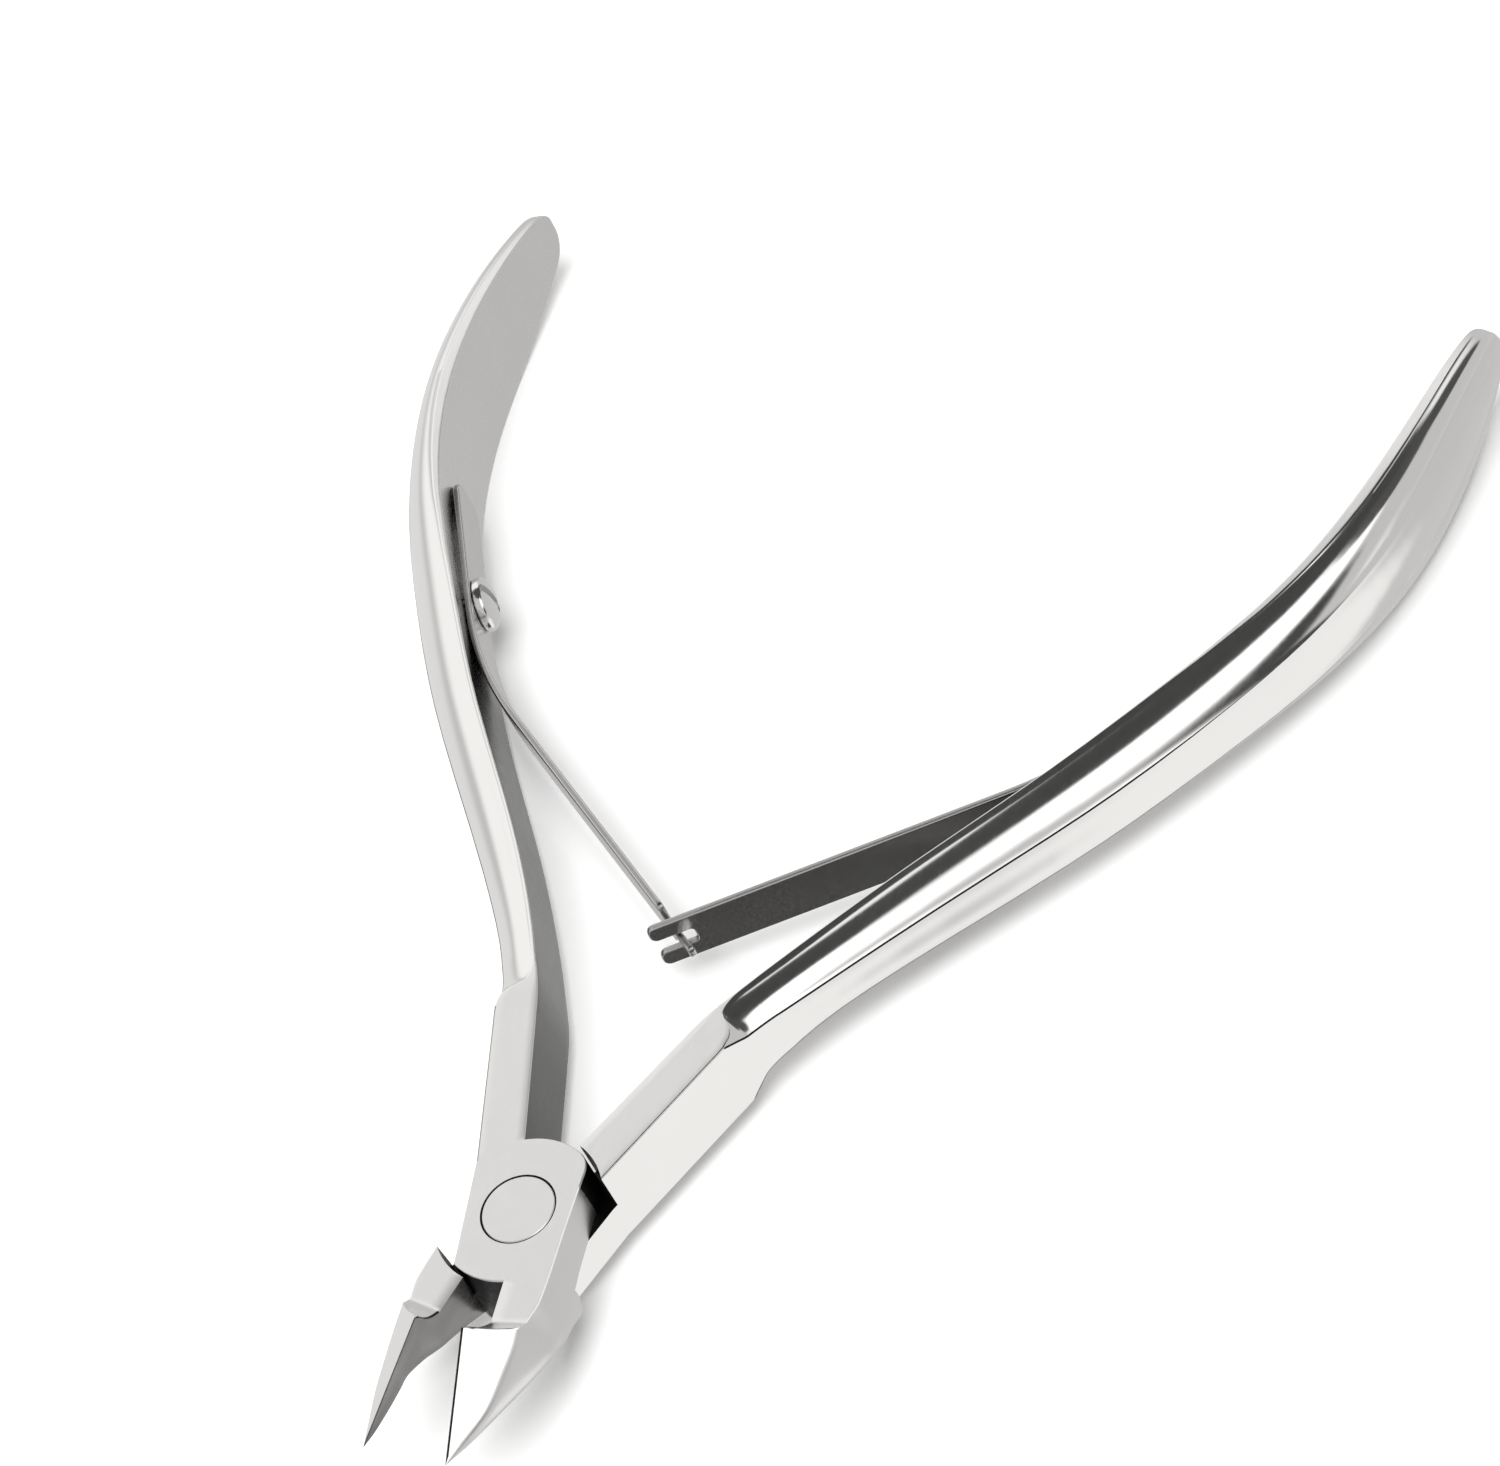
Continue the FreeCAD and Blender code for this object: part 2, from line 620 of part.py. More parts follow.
def main():
    doc = FreeCAD.newDocument("nippers")
    fill_sheet(doc)
    bodies = [
        add_half(doc, "lower_half", 1, False),
        add_half(doc, "upper_half", -1, True),
        add_rivet(doc),
        add_leaf(doc, "fork_spring", 1, True),
        add_leaf(doc, "tongue_spring", -1, False),
        add_spring_screw(doc, "fork_spring_screw", 1),
        add_spring_screw(doc, "tongue_spring_screw", -1),
    ]
    check(doc, bodies)
    os.makedirs("parts", exist_ok=True)
    for body in bodies:
        body.Shape.exportStep("parts/%s.step" % body.Label)
        print("%s: %.1f mm3" % (body.Label, body.Shape.Volume))


main()
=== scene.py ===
"""The looks of the lap-joint nippers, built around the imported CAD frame.

Sizes below are millimetres in the closed half's own frame: +X out towards its handle, +Y from the rivet
towards the handle's end, and Z from the plane where the two joint plates meet. A section's reach is its
distance from the rivet. finish_piece() turns each piece into its rest pose in the row frame, in metres.
"""

import json
import math

import bmesh
import bpy
import numpy as np
from mathutils import Matrix, Vector


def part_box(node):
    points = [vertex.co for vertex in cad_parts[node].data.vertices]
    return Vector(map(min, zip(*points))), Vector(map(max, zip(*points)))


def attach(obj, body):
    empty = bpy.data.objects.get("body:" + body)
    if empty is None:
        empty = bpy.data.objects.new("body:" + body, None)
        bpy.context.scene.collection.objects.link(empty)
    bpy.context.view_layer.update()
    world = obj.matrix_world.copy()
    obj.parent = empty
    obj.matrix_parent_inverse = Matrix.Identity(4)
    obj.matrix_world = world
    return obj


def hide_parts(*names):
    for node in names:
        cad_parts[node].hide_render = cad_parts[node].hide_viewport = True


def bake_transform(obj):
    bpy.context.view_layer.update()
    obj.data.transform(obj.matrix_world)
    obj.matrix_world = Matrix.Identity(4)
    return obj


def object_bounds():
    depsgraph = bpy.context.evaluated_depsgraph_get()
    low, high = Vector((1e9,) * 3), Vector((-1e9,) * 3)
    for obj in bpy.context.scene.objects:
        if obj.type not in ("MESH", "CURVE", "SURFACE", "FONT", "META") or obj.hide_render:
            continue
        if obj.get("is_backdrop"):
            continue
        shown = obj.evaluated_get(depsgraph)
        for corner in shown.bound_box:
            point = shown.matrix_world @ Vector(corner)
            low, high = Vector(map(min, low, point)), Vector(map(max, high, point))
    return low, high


MM = 0.001
# Places of the materials in a half's slots. Any other piece has its main material first, and a leaf's wall
# takes its second.
# The last two slots are painted shade, dark grey and near black, in hollows, gaps and along edges, and the
# inner face's tone carries painted shade too.
SATIN, POLISHED, INNER, SHADE_GREY, SHADE_BLACK = range(5)
MAIN, LEAF_WALL = range(2)
# Corners nearer than this are one corner, and edges sharper than this many degrees aren't smoothed.
WELD = 0.001
SHARP_ANGLE = 32

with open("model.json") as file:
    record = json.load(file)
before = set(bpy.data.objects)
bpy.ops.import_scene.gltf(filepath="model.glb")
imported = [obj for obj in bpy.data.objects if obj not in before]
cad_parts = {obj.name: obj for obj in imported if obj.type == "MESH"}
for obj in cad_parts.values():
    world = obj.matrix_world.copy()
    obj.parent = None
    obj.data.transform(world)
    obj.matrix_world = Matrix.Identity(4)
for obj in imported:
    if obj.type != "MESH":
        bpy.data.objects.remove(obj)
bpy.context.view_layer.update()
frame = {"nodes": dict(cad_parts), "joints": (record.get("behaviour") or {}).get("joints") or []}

RIVET_LOW, RIVET_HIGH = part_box("pivot_rivet")
JOINT_HALF = (RIVET_HIGH.z - RIVET_LOW.z) / 2 / MM
RIVET_RADIUS = (RIVET_HIGH.x - RIVET_LOW.x) / 2 / MM
JOINTS = {joint["name"]: joint for joint in frame["joints"]}
OPENING = math.radians(-JOINTS["pivot"]["range_deg"][0] / 2)


# ---------------------------------------------------------------- curves and sections

def track(knots, place):
    """The value at place of a smooth line through knots, each (place, value), that never overshoots them."""
    places = [knot[0] for knot in knots]
    values = [knot[1] for knot in knots]
    if place <= places[0]:
        return values[0]
    if place >= places[-1]:
        return values[-1]
    rises = [(b[1] - a[1]) / (b[0] - a[0]) for a, b in zip(knots, knots[1:])]
    slopes = [rises[0]]
    for before, after in zip(rises, rises[1:]):
        slopes.append(2 * before * after / (before + after) if before * after > 0 else 0)
    slopes.append(rises[-1])
    at = max(i for i, p in enumerate(places) if p <= place)
    span = places[at + 1] - places[at]
    t = (place - places[at]) / span
    return (
        (2 * t ** 3 - 3 * t ** 2 + 1) * values[at]
        + (t ** 3 - 2 * t ** 2 + t) * span * slopes[at]
        + (3 * t ** 2 - 2 * t ** 3) * values[at + 1]
        + (t ** 3 - t ** 2) * span * slopes[at + 1]
    )


def ease(low, high, place):
    """0 up to low, 1 from high, and smooth between."""
    t = min(max((place - low) / (high - low), 0), 1)
    return t * t * (3 - 2 * t)


# A corner's softness takes at most this share of a side, and is drawn at these places along its curve.
CORNER_SHARE = 0.4
CORNER_STEPS = (0, 1 / 3, 2 / 3, 1)


def ring(corners):
    """A closed section with softened corners and bowed sides, and the material of each of its segments.

    Each corner is (x, z, softness, steps along the next side, bow of that side, its material, and the
    softened corner's own material).
    """
    points, materials = [], []
    count = len(corners)
    spots = [Vector(corner[:2]) for corner in corners]
    for i, (_, _, soft, steps, bow, side, edge) in enumerate(corners):
        here, before, after = spots[i], spots[i - 1], spots[(i + 1) % count]
        back, ahead = before - here, after - here
        first = here + back.normalized() * min(soft, CORNER_SHARE * back.length)
        last = here + ahead.normalized() * min(soft, CORNER_SHARE * ahead.length)
        for t in CORNER_STEPS:
            points.append(first * (1 - t) ** 2 + here * 2 * t * (1 - t) + last * t ** 2)
            materials.append(side if t == 1 else edge)
        end_soft = corners[(i + 1) % count][2]
        end = after - ahead.normalized() * min(end_soft, CORNER_SHARE * ahead.length)
        out = Vector((ahead.y, -ahead.x)).normalized() * bow
        for step in range(1, steps):
            t = step / steps
            points.append(last.lerp(end, t) + out * 4 * t * (1 - t))
            materials.append(side)
    return points, materials


def loft(rings, reaches):
    """A closed mesh through rings of (points, materials), each at its own reach. Both ends are capped."""
    mesh = bmesh.new()
    rows = [[mesh.verts.new((p.x, reach, p.y)) for p in ring[0]] for ring, reach in zip(rings, reaches)]
    for low, high, (_, materials) in zip(rows, rows[1:], rings):
        for i, material in enumerate(materials):
            j = (i + 1) % len(low)
            face = mesh.faces.new((low[i], low[j], high[j], high[i]))
            face.material_index = material
    mesh.faces.new(reversed(rows[0]))
    mesh.faces.new(rows[-1])
    bmesh.ops.recalc_face_normals(mesh, faces=mesh.faces)
    return mesh


def new_object(name, mesh, materials):
    """An object made from a bmesh, which is used up."""
    data = bpy.data.meshes.new(name)
    for material in materials:
        data.materials.append(material)
    mesh.to_mesh(data)
    mesh.free()
    piece = bpy.data.objects.new(name, data)
    bpy.context.scene.collection.objects.link(piece)
    return piece


def combine(piece, other, operation):
    """Adds other to piece, or cuts it away, and drops other."""
    step = piece.modifiers.new(operation, "BOOLEAN")
    step.operation = operation
    step.solver = "EXACT"
    step.object = other
    graph = bpy.context.evaluated_depsgraph_get()
    data = bpy.data.meshes.new_from_object(piece.evaluated_get(graph))
    piece.modifiers.remove(step)
    piece.data = data
    bpy.data.objects.remove(other)


def clean(piece):
    """Welds corners that the cuts left closer than WELD, and drops what is left loose."""
    mesh = bmesh.new()
    mesh.from_mesh(piece.data)
    bmesh.ops.remove_doubles(mesh, verts=mesh.verts, dist=WELD)
    bmesh.ops.dissolve_degenerate(mesh, edges=mesh.edges, dist=WELD)
    bmesh.ops.delete(mesh, geom=[vert for vert in mesh.verts if not vert.link_faces], context="VERTS")
    mesh.to_mesh(piece.data)
    mesh.free()


# ---------------------------------------------------------------- the frame's own sections

def closed_triangles(node, side):
    """The CAD half as triangles in the closed half's frame, in millimetres."""
    data = frame["nodes"][node].data
    data.calc_loop_triangles()
    spots = np.array([v.co for v in data.vertices]) / MM
    x, y, z = side * spots[:, 0], spots[:, 1], spots[:, 2] - JOINT_HALF
    turn = (math.cos(OPENING), math.sin(OPENING))
    spots = np.stack([x * turn[0] - y * turn[1], x * turn[1] + y * turn[0], z], axis=1)
    return spots[np.array([t.vertices for t in data.loop_triangles])]


FLAT_TOLERANCE = 0.03


def slice_sizes(triangles, reach):
    """Inner face, half height, ridge height, thickness and strip width where the handle is cut at reach."""
    points = []
    for a, b in ((0, 1), (1, 2), (2, 0)):
        start, end = triangles[:, a], triangles[:, b]
        crosses = (start[:, 1] - reach) * (end[:, 1] - reach) < 0
        start, end = start[crosses], end[crosses]
        t = (reach - start[:, 1]) / (end[:, 1] - start[:, 1])
        points.append(start + (end - start) * t[:, None])
    cut = np.concatenate(points)
    x, z = cut[:, 0], cut[:, 2]
    inner, outer, half = x.min(), x.max(), z.max()
    ridge = z[x > outer - FLAT_TOLERANCE].max()
    strip = x[z > half - FLAT_TOLERANCE].max() - inner
    return {"inner": inner, "half": half, "ridge": ridge, "thick": outer - inner, "strip": strip}


# ---------------------------------------------------------------- the halves

# The handle's root runs straight from the joint through the two sampled reaches up to the shoulder.
ROOT_START = 3.9
ROOT_SAMPLES = (9.0, 15.0)
ROOT_BLEND = 15.5
SHOULDER = 17.3
SHOULDER_END = 22.0
ROOT_CHAMFER = 0.07
EDGE_SOFTNESS = 0.12
# The first and last cut of the frame's handle, measured from the shoulder and from its end.
FIRST_CUT = 0.2
LAST_CUT = 0.05
ROOT_STEP, SHOULDER_STEP, GRIP_STEP = 0.8, 0.15, 0.6
# The least half height of a section, and the least distance between two of its corners.
LEAST_HALF = 0.12
LEAST_DROP = 0.04
# Along the handle's reach: height of the ridge past the shoulder, width of the strip, and how soft and how
# bowed the section is.
RIDGE = ((17.3, 3.28), (18.3, 2.75), (19.4, 2.25), (22.0, 1.96))
STRIP = (
    (17.3, 3.31), (18.2, 3.05), (18.9, 2.4), (19.4, 1.5), (19.9, 0.85), (20.8, 0.45), (22.0, 0.25),
    (46.0, 0.22), (56.0, 0.36), (66.0, 0.70), (76.0, 1.0), (84.0, 0.9), (94.4, 0.5),
)
STRIP_SOFTNESS = ((19.0, 0.06), (26.0, 0.26), (60.0, 0.14))
RIDGE_SOFTNESS = ((17.0, 0.10), (48.0, 0.09), (61.0, 0.02), (66.0, 0.05), (76.0, 0.5))
BEVEL_BOW = (
    (17.3, 0.0), (19.0, 0.04), (23.0, 0.115), (56.0, 0.125), (66.0, 0.15), (76.0, 0.19), (84.0, 0.2),
    (94.4, 0.17),
)
OUTER_BOW = ((6.0, 0.0), (16.5, 0.012), (24.0, 0.055))
# The ridge's rounding is painted near black from the shoulder to here, a painted reflection line.
CREASE_END = 61.0
# The rounded end: its length, how full its curve is, how far its faces draw in, and its cuts in degrees.
CAP_LENGTH = 2.2
CAP_POWER = 2.5
CAP_DRAW = 0.4
CAP_TURNS = (*range(10, 80, 8), 80, 84, 87)

# The joint plate: an arc about the rivet at each end, a flank towards the handle's outer side and one
# towards the jaw. The other half's plate turns in a round recess.
LAP_GAP = 0.02
PLATE_STEPS = 40
PLATE_CUT_BACK = 4
PLATE_RADIUS = 6.05
PLATE_CORNER = 0.9
RECESS_RADIUS = 6.4
PLATE_FLANK = ((3.72, -4.77), (4.5, 4.04))
PLATE_FLANK_END = 4.7
JAW_FLANK = ((-4.4, 4.15), (-4.15, -1.86), (-4.1, -4.45))

# The cutting edge falls from its heel to the tip, and its bevel slopes outwards from it. The lip is the
# hollow climb to the heel.
HEEL_REACH = 11.4
TIP_REACH = 20.6
HEEL_HEIGHT = 6.15
TIP_HEIGHT = 2.5
BEVEL_SLOPE = 0.836
LIP_START = 9.4
LIP_RADIUS = 5.0
JAW_START = -2.0
JAW_STEP = 0.3
# How soft the jaw's corners are where it is honed, where it is only crisp, and where it is plain.
HONED = 0.16
CRISP = 0.10
PLAIN = 0.3

# Lines along the jaw, as (reach, distance from the closing plane or height).
JAW_BROW = (
    (-2.0, 4.3), (1.9, 4.17), (5.5, 4.1), (7.6, 3.98), (9.8, 3.36), (11.0, 3.27), (13.4, 2.8),
    (16.0, 2.2), (18.6, 1.08), (20.6, 0.06),
)
JAW_BULGE = (
    (-2.0, 4.36), (2.6, 4.46), (4.5, 4.6), (7.5, 4.8), (9.7, 4.6), (11.7, 4.1), (14.0, 3.2), (16.0, 2.3),
    (17.6, 1.55), (19.5, 0.6), (20.6, 0.08),
)
BULGE_HEIGHT = (
    (2.6, -0.8), (7.5, -0.6), (9.7, -0.1), (11.7, 0.5), (14.0, 1.1), (16.0, 1.5), (18.0, 1.85), (20.6, 2.45),
)
BELLY = (
    (4.6, -3.35), (7.0, -2.1), (9.3, -1.1), (11.6, -0.35), (14.0, 0.25), (16.7, 1.0), (18.6, 1.6),
    (20.6, 2.4),
)
BELLY_OUTER = (
    (2.6, 4.0), (7.5, 3.9), (9.7, 3.5), (11.7, 3.0), (14.0, 2.3), (16.0, 1.6), (18.0, 0.95), (20.6, 0.06),
)
BELLY_INNER = (
    (2.6, 1.7), (10.0, 1.65), (12.0, 2.0), (13.4, 2.1), (15.0, 1.65), (16.5, 1.18), (18.0, 0.74),
    (19.4, 0.33), (20.6, 0.05),
)
THROAT = ((2.6, 0.62), (9.2, 0.62), (11.4, 0.03), (20.6, 0.03))
HOLLOW_BOW = 0.22


def reach_steps(start, end, step):
    """Even reaches from start to end, about step apart."""
    count = max(2, round((end - start) / step))
    return [start + (end - start) * i / count for i in range(count + 1)]


def handle_sizes(triangles):
    """The handle's section at any reach: the frame's own, squared off at its root and rounded at its end."""
    near, far = (slice_sizes(triangles, reach) for reach in ROOT_SAMPLES)
    end = triangles[:, :, 1].max()

    def sizes(reach):
        """The section's sizes at reach, as slice_sizes() gives them."""
        size = slice_sizes(triangles, min(max(reach, SHOULDER + FIRST_CUT), end - LAST_CUT))
        share = (reach - ROOT_SAMPLES[0]) / (ROOT_SAMPLES[1] - ROOT_SAMPLES[0])
        straight = 1 - ease(ROOT_BLEND, SHOULDER_END, reach)
        for name in ("inner", "thick"):
            root = near[name] + (far[name] - near[name]) * share
            size[name] += (root - size[name]) * straight
        size["half"] += (JOINT_HALF - size["half"]) * straight
        if reach < SHOULDER:
            size["ridge"] = size["half"] - ROOT_CHAMFER
            size["strip"] = size["thick"] - ROOT_CHAMFER
        else:
            size["strip"] = track(STRIP, reach)
        if SHOULDER <= reach < SHOULDER_END:
            size["ridge"] = track(RIDGE, reach)
        past = (reach - end) / CAP_LENGTH + 1
        if past > 0:
            left = max(1 - past ** CAP_POWER, 0) ** (1 / CAP_POWER)
            draw = CAP_DRAW * (1 - left)
            size["inner"] += draw
            size["thick"] -= 2 * draw
            size["half"] *= left
            size["ridge"] *= left
        return size

    return sizes, end


def handle_ring(size, reach):
    """The handle's section: strips and bevels above and below, a bowed outer face, a flat inner one."""
    inner = size["inner"]
    outer = inner + size["thick"]
    half = max(size["half"], LEAST_HALF)
    ridge = min(size["ridge"], half - LEAST_DROP)
    strip = min(inner + size["strip"], outer - LEAST_DROP)
    bow = track(BEVEL_BOW, reach) * math.hypot(outer - strip, half - ridge)
    swell = track(OUTER_BOW, reach) * 2 * ridge
    crease, crest = track(STRIP_SOFTNESS, reach), track(RIDGE_SOFTNESS, reach)
    # Up to the shoulder the strips' corners are painted dark grey as shade; from the shoulder to CREASE_END
    # the ridge's corners are painted near black, a painted reflection line.
    root = SHADE_GREY if reach < SHOULDER else POLISHED
    ridged = SHADE_BLACK if SHOULDER <= reach < CREASE_END else POLISHED
    return ring((
        (inner, -half, EDGE_SOFTNESS, 6, 0, SATIN, SATIN),
        (strip, -half, crease, 12, bow, POLISHED, root),
        (outer, -ridge, crest, 12, swell, POLISHED, ridged),
        (outer, ridge, crest, 12, bow, POLISHED, ridged),
        (strip, half, crease, 6, 0, SATIN, root),
        (inner, half, EDGE_SOFTNESS, 8, 0, INNER, SATIN),
    ))


def handle(node, side):
    """The root and the grip as one closed mesh."""
    sizes, end = handle_sizes(closed_triangles(node, side))
    reaches = reach_steps(ROOT_START, SHOULDER, ROOT_STEP)
    reaches += reach_steps(SHOULDER, SHOULDER_END, SHOULDER_STEP)[1:]
    reaches += reach_steps(SHOULDER_END, end - CAP_LENGTH, GRIP_STEP)[1:]
    for turn in CAP_TURNS:
        reaches.append(end - CAP_LENGTH + CAP_LENGTH * math.sin(math.radians(turn)))
    return loft([handle_ring(sizes(reach), reach) for reach in reaches], reaches)


def arc(start, end, radius, steps):
    """Points on a circle about the rivet from start to end, anticlockwise."""
    first = math.atan2(start[1], start[0])
    last = math.atan2(end[1], end[0])
    if last < first:
        last += 2 * math.pi
    angles = [first + (last - first) * i / steps for i in range(steps + 1)]
    return [(radius * math.cos(angle), radius * math.sin(angle)) for angle in angles]


def rounded_rim(height, inwards, softness):
    """Levels of a slab, as (inset, height), that round its edge at height. Inwards is +1 above, -1 below."""
    angles = [math.radians(turn) for turn in (0, 30, 60, 90)]
    return [
        (softness * (1 - math.cos(a)), height - inwards * softness * (1 - math.sin(a)))
        for a in angles
    ]


# The least sine of half a corner's angle, so that a needle-sharp one isn't drawn in too far.
LEAST_SINE = 0.3


def slab(outline, levels, wall=lambda spot: MAIN, base=MAIN):
    """A closed mesh with the outline, which runs anticlockwise, drawn in by each level's inset.

    Wall gives the material of its upright side at a spot of the outline, and base is its first level's.
    """
    count = len(outline)
    walls = [wall((Vector(a) + Vector(b)) / 2) for a, b in zip(outline, outline[1:] + outline[:1])]
    mesh = bmesh.new()
    rows = []
    for inset, height in levels:
        row = []
        for i, point in enumerate(outline):
            spot = Vector(point)
            first = (spot - Vector(outline[i - 1])).normalized()
            second = (Vector(outline[(i + 1) % count]) - spot).normalized()
            inward = Vector((-first.y - second.y, first.x + second.x)).normalized()
            spot += inward * inset / max(abs(inward.x * first.y - inward.y * first.x), LEAST_SINE)
            row.append(mesh.verts.new((spot.x, spot.y, height)))
        rows.append(row)
    for low, high, (inset, _), (next_inset, _) in zip(rows, rows[1:], levels, levels[1:]):
        for i in range(count):
            j = (i + 1) % count
            face = mesh.faces.new((low[i], low[j], high[j], high[i]))
            face.material_index = walls[i] if inset == next_inset else MAIN
    mesh.faces.new(reversed(rows[0])).material_index = base
    mesh.faces.new(rows[-1])
    bmesh.ops.recalc_face_normals(mesh, faces=mesh.faces)
    return mesh


def plate_wall(spot):
    """The plate's wall is ground where it carries on the handle or the jaw, and painted near black as shade
    at its round ends.
    """
    if spot.x > PLATE_FLANK[0][0] and abs(spot.y) < PLATE_FLANK_END:
        return POLISHED
    if spot.x < JAW_FLANK[2][0] and JAW_FLANK[2][1] < spot.y < -JAW_START:
        return SATIN
    return SHADE_BLACK


def plate():
    """The round-ended joint plate above the lap plane, with its upper edge softened."""
    outline = [PLATE_FLANK[0]]
    outline += arc(PLATE_FLANK[1], JAW_FLANK[0], PLATE_RADIUS, PLATE_STEPS)[:-PLATE_CUT_BACK]
    corner, flank = Vector(JAW_FLANK[0]), Vector(JAW_FLANK[1])
    last = corner + (flank - corner).normalized() * PLATE_CORNER
    first = Vector(outline[-1])
    for t in (0.2, 0.4, 0.6, 0.8, 1):
        outline.append(first * (1 - t) ** 2 + corner * 2 * t * (1 - t) + last * t ** 2)
    flank_share = (last.y + JAW_START) / (last.y - flank.y)
    outline += [last.lerp(flank, flank_share), JAW_FLANK[1]]
    outline += arc(JAW_FLANK[2], PLATE_FLANK[0], PLATE_RADIUS, PLATE_STEPS)[:-1]
    # The plate's underside in the lap plane is painted near black as shade.
    return slab(outline, [(0, LAP_GAP)] + rounded_rim(JOINT_HALF, 1, EDGE_SOFTNESS), plate_wall, SHADE_BLACK)


def lip_height(reach):
    """Height of the jaw's top: level with the joint, then a hollow climb to the heel of the edge."""
    if reach <= LIP_START:
        return JOINT_HALF
    if reach >= HEEL_REACH:
        return HEEL_HEIGHT + 1
    rise = Vector((HEEL_REACH - LIP_START, HEEL_HEIGHT - JOINT_HALF))
    middle = Vector((LIP_START, JOINT_HALF)) + rise / 2
    across = Vector((-rise.y, rise.x)).normalized()
    centre = middle + across * math.sqrt(LIP_RADIUS ** 2 - (rise.length / 2) ** 2)
    return centre.y - math.sqrt(LIP_RADIUS ** 2 - (reach - centre.x) ** 2)


def jaw_ring(reach):
    """The jaw's section: throat or cutting edge, lip, bevel, leaning outer wall, belly and hollow."""
    lip = lip_height(reach)
    crest = HEEL_HEIGHT - (reach - HEEL_REACH) * (HEEL_HEIGHT - TIP_HEIGHT) / (TIP_REACH - HEEL_REACH)
    throat = track(THROAT, reach)
    brow = max(track(JAW_BROW, reach), throat + 0.03)
    bulge = max(track(JAW_BULGE, reach), throat + 0.04)
    outer = track(BELLY_OUTER, reach)
    inner = min(track(BELLY_INNER, reach), outer - 0.005)
    edge_top = min(lip, crest - BEVEL_SLOPE * throat)
    crease = min(max((crest - lip) / BEVEL_SLOPE, throat + 0.01), brow - 0.01)
    brow_top = min(lip, crest - BEVEL_SLOPE * brow)
    belly = min(max(track(BELLY, reach), -JOINT_HALF), brow_top - 0.05)
    middle = min(max(track(BULGE_HEIGHT, reach), belly + 0.02), brow_top - 0.02)
    ground = reach > LIP_START
    size = min(1, brow)
    # Where the jaw is ground, the cutting edge's rounding and, past the heel, the bevel's crease are painted
    # near black: painted shade lines along the edge.
    honed, edge = (HONED, SHADE_BLACK) if reach > HEEL_REACH else (CRISP * size, POLISHED)
    return ring((
        (-throat, edge_top, HONED if ground else 0.03, 3, 0, SATIN, SHADE_BLACK if ground else SATIN),
        (-crease, min(lip, crest - BEVEL_SLOPE * crease), honed, 5, 0, POLISHED, edge),
        (-brow, brow_top, (PLAIN if ground else CRISP) * size, 5, 0.02 * size, SATIN, SATIN),
        (-bulge, middle, 0.9 * size, 4, 0.05 * size, SATIN, SATIN),
        (-outer, belly, 0.8 * size, 3, 0.05 * size, SATIN, SATIN),
        # The hollow is painted dark grey as shade.
        (-inner, belly, CRISP * size, 6, -HOLLOW_BOW * size, SHADE_GREY, SHADE_GREY),
    ))


def jaw():
    """The jaw from inside the joint to its tip, as one closed mesh."""
    reaches = reach_steps(JAW_START, TIP_REACH, JAW_STEP)
    rings = [jaw_ring(reach) for reach in reaches]
    return loft(rings, [-reach for reach in reaches])


def turned(profile, steps=72, material=MAIN):
    """A closed solid turned about Z.

    Its profile is (radius, height) points that start and end on the axis.
    """
    mesh = bmesh.new()
    rows = []
    for radius, height in profile:
        if radius == 0:
            rows.append([mesh.verts.new((0, 0, height))])
            continue
        angles = [2 * math.pi * i / steps for i in range(steps)]
        rows.append([mesh.verts.new((radius * math.cos(a), radius * math.sin(a), height)) for a in angles])
    for low, high in zip(rows, rows[1:]):
        for i in range(steps):
            j = (i + 1) % steps
            corners = [low[i % len(low)], low[j % len(low)], high[j % len(high)], high[i % len(high)]]
            face = mesh.faces.new(list(dict.fromkeys(corners)))
            face.material_index = material
    bmesh.ops.recalc_face_normals(mesh, faces=mesh.faces)
    return mesh


RIVET_STEPS = 96
RIVET_CONE = 1.2
RIVET_SHANK = 2.0
SEAT_GAP = 0.05
RIM_ROUND = 0.07
RIVET_PROUD = 0.015
# The flat of its head is divided at these shares of its radius.
RIVET_RINGS = (0.8, 0.55, 0.3, 0.1)
# A cutter runs this far past the faces that it opens.
OVERRUN = 1
RECESS_OVERRUN = 6


def mirrored(profile):
    """The lower half of a turned profile whose upper half is given."""
    return [(radius, -height) for radius, height in reversed(profile)]


def rivet_seat():
    """The rivet's hole with the fine groove that shows round its head. The faces it cuts are painted near
    black as shade.
    """
    face, past = JOINT_HALF, JOINT_HALF + OVERRUN
    wide, narrow = RIVET_RADIUS + SEAT_GAP, RIVET_SHANK + SEAT_GAP
    groove = wide + RIM_ROUND
    above = [(narrow, face - RIVET_CONE), (wide, face - RIM_ROUND), (groove, face), (groove, past)]
    above.append((0, past))
    return turned(mirrored(above) + above, material=SHADE_BLACK)


def recess():
    """The other half's plate turns in this round space on the far side of the lap plane. The faces it cuts
    are painted near black as shade.
    """
    bottom = -JOINT_HALF - RECESS_OVERRUN
    profile = ((0, bottom), (RECESS_RADIUS, bottom), (RECESS_RADIUS, LAP_GAP), (0, LAP_GAP))
    return turned(profile, RIVET_STEPS, SHADE_BLACK)


